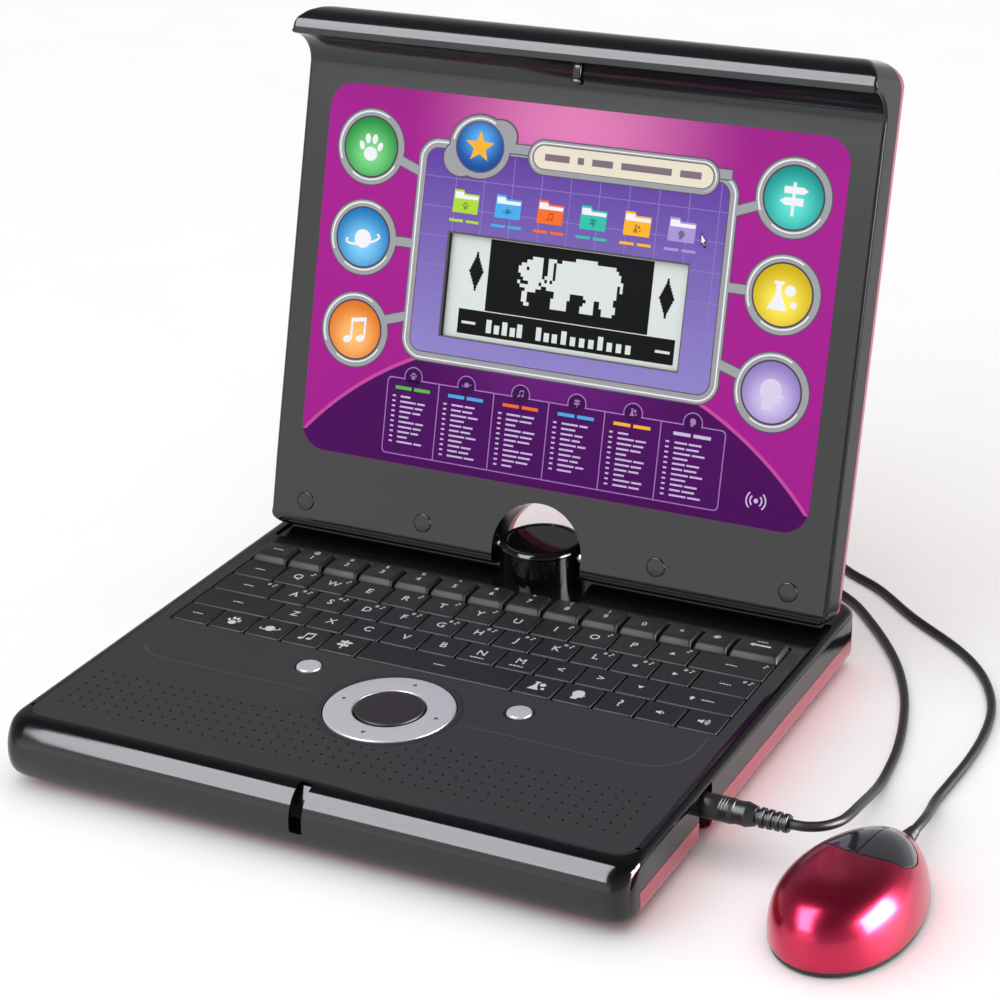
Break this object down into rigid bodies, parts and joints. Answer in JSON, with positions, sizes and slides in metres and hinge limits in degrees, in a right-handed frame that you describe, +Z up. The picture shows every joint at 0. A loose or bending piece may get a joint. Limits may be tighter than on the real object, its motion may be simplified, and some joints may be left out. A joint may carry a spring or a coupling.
{
  "type": "toy laptop computer",
  "caption": "Toy laptop computer: a base with keys, round pad and hinged lid with a small display and printed panel, and a corded mouse plugged into its side.",
  "frame": {"origin": "centre of the base's footprint, on the table the feet stand on", "axes": "+X to the user's right, +Y towards the back, +Z up; the user sits on the -Y side"},
  "size_m": [0.3774, 0.3688, 0.2667],
  "materials": {
    "satin_black": "satin",
    "gloss_black": "gloss",
    "key_grey": "semi-gloss",
    "pink_pearl": "metallic gloss",
    "mouse_pink": "metallic gloss",
    "silver_plastic": "satin",
    "screw_steel": "bright",
    "foot_rubber": "matte",
    "circuit_board": "satin",
    "membrane_rubber": "matte",
    "battery_wrap": "gloss",
    "spring_brass": "bright",
    "printed_art": "gloss",
    "display_glass": "satin",
    "cable_grey": "matte",
    "smoke_plastic": "gloss",
    "glide_white": "satin",
    "cord_rubber": "satin",
    "grey_plastic": "satin"
  },
  "bodies": {
    "base": {"base_upper_shell": "satin_black", "base_lower_shell": "pink_pearl", "base_screws": "screw_steel", "rubber_feet": "foot_rubber", "battery_door": "pink_pearl", "battery_door_screw": "screw_steel", "battery_cells": "battery_wrap", "battery_contacts": "spring_brass", "hinge_post": "gloss_black", "hinge_pins": "screw_steel", "main_board": "circuit_board", "key_membrane": "membrane_rubber", "key_guide_plate": "grey_plastic", "speaker": "grey_plastic", "mouse_jack": "grey_plastic", "front_catch": "gloss_black", "mouse_cord": "cord_rubber", "plug_body": "cord_rubber", "plug_pin": "spring_brass"},
    "lid": {"lid_bezel": "gloss_black", "lid_back_cover": "pink_pearl", "artwork_panel": "printed_art", "lcd_module": "display_glass", "lcd_board": "circuit_board", "display_cable": "cable_grey", "lid_hook": "gloss_black", "lid_screw_caps": "grey_plastic", "lid_screws": "screw_steel"},
    "mouse": {"mouse_top_shell": "mouse_pink", "mouse_base": "gloss_black", "mouse_board": "circuit_board", "mouse_glides": "glide_white", "mouse_grommet": "cord_rubber"},
    "dpad_carrier": {"dpad_carrier": "grey_plastic"},
    "dpad_ring": {"dpad_ring": "silver_plastic"},
    "centre_button": {"centre_button": "gloss_black"},
    "left_round_button": {"left_round_button": "silver_plastic"},
    "right_round_button": {"right_round_button": "silver_plastic"},
    "mouse_left_button": {"mouse_left_button": "smoke_plastic"},
    "mouse_right_button": {"mouse_right_button": "smoke_plastic"},
    "key_on_off": {"key_on_off": "key_grey"},
    "key_paw": {"key_paw": "key_grey"},
    "key_planet": {"key_planet": "key_grey"},
    "key_music": {"key_music": "key_grey"},
    "key_signpost": {"key_signpost": "key_grey"},
    "key_space": {"key_space": "key_grey"},
    "key_flask": {"key_flask": "key_grey"},
    "key_brain": {"key_brain": "key_grey"},
    "key_help": {"key_help": "key_grey"},
    "key_volume_down": {"key_volume_down": "key_grey"},
    "key_volume_up": {"key_volume_up": "key_grey"},
    "key_up": {"key_up": "key_grey"},
    "key_left": {"key_left": "key_grey"},
    "key_right": {"key_right": "key_grey"},
    "key_down": {"key_down": "key_grey"},
    "key_enter": {"key_enter": "key_grey"},
    "keys_number_row": {"keys_number_row": "key_grey"},
    "keys_upper_letters": {"keys_upper_letters": "key_grey"},
    "keys_middle_letters": {"keys_middle_letters": "key_grey"},
    "keys_lower_letters": {"keys_lower_letters": "key_grey"}
  },
  "joints": [
    {"name": "lid_hinge", "type": "hinge", "parent": "base", "child": "lid", "pos_m": [0, 0.0932, 0.0403], "axis": [1, 0, 0], "range_deg": [-10, 105.8]},
    {"name": "key_on_off_press", "type": "slide", "parent": "base", "child": "key_on_off", "axis": [0, 0, -1], "range_m": [0, 0.002], "stiffness_N_per_m": 300},
    {"name": "key_paw_press", "type": "slide", "parent": "base", "child": "key_paw", "axis": [0, 0, -1], "range_m": [0, 0.002], "stiffness_N_per_m": 300},
    {"name": "key_planet_press", "type": "slide", "parent": "base", "child": "key_planet", "axis": [0, 0, -1], "range_m": [0, 0.002], "stiffness_N_per_m": 300},
    {"name": "key_music_press", "type": "slide", "parent": "base", "child": "key_music", "axis": [0, 0, -1], "range_m": [0, 0.002], "stiffness_N_per_m": 300},
    {"name": "key_signpost_press", "type": "slide", "parent": "base", "child": "key_signpost", "axis": [0, 0, -1], "range_m": [0, 0.002], "stiffness_N_per_m": 300},
    {"name": "key_space_press", "type": "slide", "parent": "base", "child": "key_space", "axis": [0, 0, -1], "range_m": [0, 0.002], "stiffness_N_per_m": 300},
    {"name": "key_flask_press", "type": "slide", "parent": "base", "child": "key_flask", "axis": [0, 0, -1], "range_m": [0, 0.002], "stiffness_N_per_m": 300},
    {"name": "key_brain_press", "type": "slide", "parent": "base", "child": "key_brain", "axis": [0, 0, -1], "range_m": [0, 0.002], "stiffness_N_per_m": 300},
    {"name": "key_help_press", "type": "slide", "parent": "base", "child": "key_help", "axis": [0, 0, -1], "range_m": [0, 0.002], "stiffness_N_per_m": 300},
    {"name": "key_volume_down_press", "type": "slide", "parent": "base", "child": "key_volume_down", "axis": [0, 0, -1], "range_m": [0, 0.002], "stiffness_N_per_m": 300},
    {"name": "key_volume_up_press", "type": "slide", "parent": "base", "child": "key_volume_up", "axis": [0, 0, -1], "range_m": [0, 0.002], "stiffness_N_per_m": 300},
    {"name": "key_up_press", "type": "slide", "parent": "base", "child": "key_up", "axis": [0, 0, -1], "range_m": [0, 0.002], "stiffness_N_per_m": 300},
    {"name": "key_left_press", "type": "slide", "parent": "base", "child": "key_left", "axis": [0, 0, -1], "range_m": [0, 0.002], "stiffness_N_per_m": 300},
    {"name": "key_right_press", "type": "slide", "parent": "base", "child": "key_right", "axis": [0, 0, -1], "range_m": [0, 0.002], "stiffness_N_per_m": 300},
    {"name": "key_down_press", "type": "slide", "parent": "base", "child": "key_down", "axis": [0, 0, -1], "range_m": [0, 0.002], "stiffness_N_per_m": 300},
    {"name": "key_enter_press", "type": "slide", "parent": "base", "child": "key_enter", "axis": [0, 0, -1], "range_m": [0, 0.002], "stiffness_N_per_m": 300},
    {"name": "keys_number_row_press", "type": "slide", "parent": "base", "child": "keys_number_row", "axis": [0, 0, -1], "range_m": [0, 0.002], "stiffness_N_per_m": 300},
    {"name": "keys_upper_letters_press", "type": "slide", "parent": "base", "child": "keys_upper_letters", "axis": [0, 0, -1], "range_m": [0, 0.002], "stiffness_N_per_m": 300},
    {"name": "keys_middle_letters_press", "type": "slide", "parent": "base", "child": "keys_middle_letters", "axis": [0, 0, -1], "range_m": [0, 0.002], "stiffness_N_per_m": 300},
    {"name": "keys_lower_letters_press", "type": "slide", "parent": "base", "child": "keys_lower_letters", "axis": [0, 0, -1], "range_m": [0, 0.002], "stiffness_N_per_m": 300},
    {"name": "dpad_tilt_front_back", "type": "hinge", "parent": "base", "child": "dpad_carrier", "pos_m": [0, -0.0475, 0.027], "axis": [1, 0, 0], "range_deg": [-2.4, 2.4], "stiffness_Nm_per_rad": 0.6},
    {"name": "dpad_tilt_left_right", "type": "hinge", "parent": "dpad_carrier", "child": "dpad_ring", "pos_m": [0, -0.0475, 0.027], "axis": [0, 1, 0], "range_deg": [-2.4, 2.4], "stiffness_Nm_per_rad": 0.6},
    {"name": "centre_button_press", "type": "slide", "parent": "base", "child": "centre_button", "axis": [0, 0, -1], "range_m": [0, 0.0012], "stiffness_N_per_m": 400},
    {"name": "left_round_button_press", "type": "slide", "parent": "base", "child": "left_round_button", "axis": [0, 0, -1], "range_m": [0, 0.001], "stiffness_N_per_m": 400},
    {"name": "right_round_button_press", "type": "slide", "parent": "base", "child": "right_round_button", "axis": [0, 0, -1], "range_m": [0, 0.001], "stiffness_N_per_m": 400},
    {"name": "mouse_slide", "type": "slide", "parent": "base", "child": "mouse", "axis": [0, 1, 0], "range_m": [-0.03, 0.02], "deforming": ["mouse_cord"]},
    {"name": "mouse_left_button_click", "type": "slide", "parent": "mouse", "child": "mouse_left_button", "axis": [0, 0, -1], "range_m": [0, 0.0008], "stiffness_N_per_m": 400},
    {"name": "mouse_right_button_click", "type": "slide", "parent": "mouse", "child": "mouse_right_button", "axis": [0, 0, -1], "range_m": [0, 0.0008], "stiffness_N_per_m": 400}
  ]
}
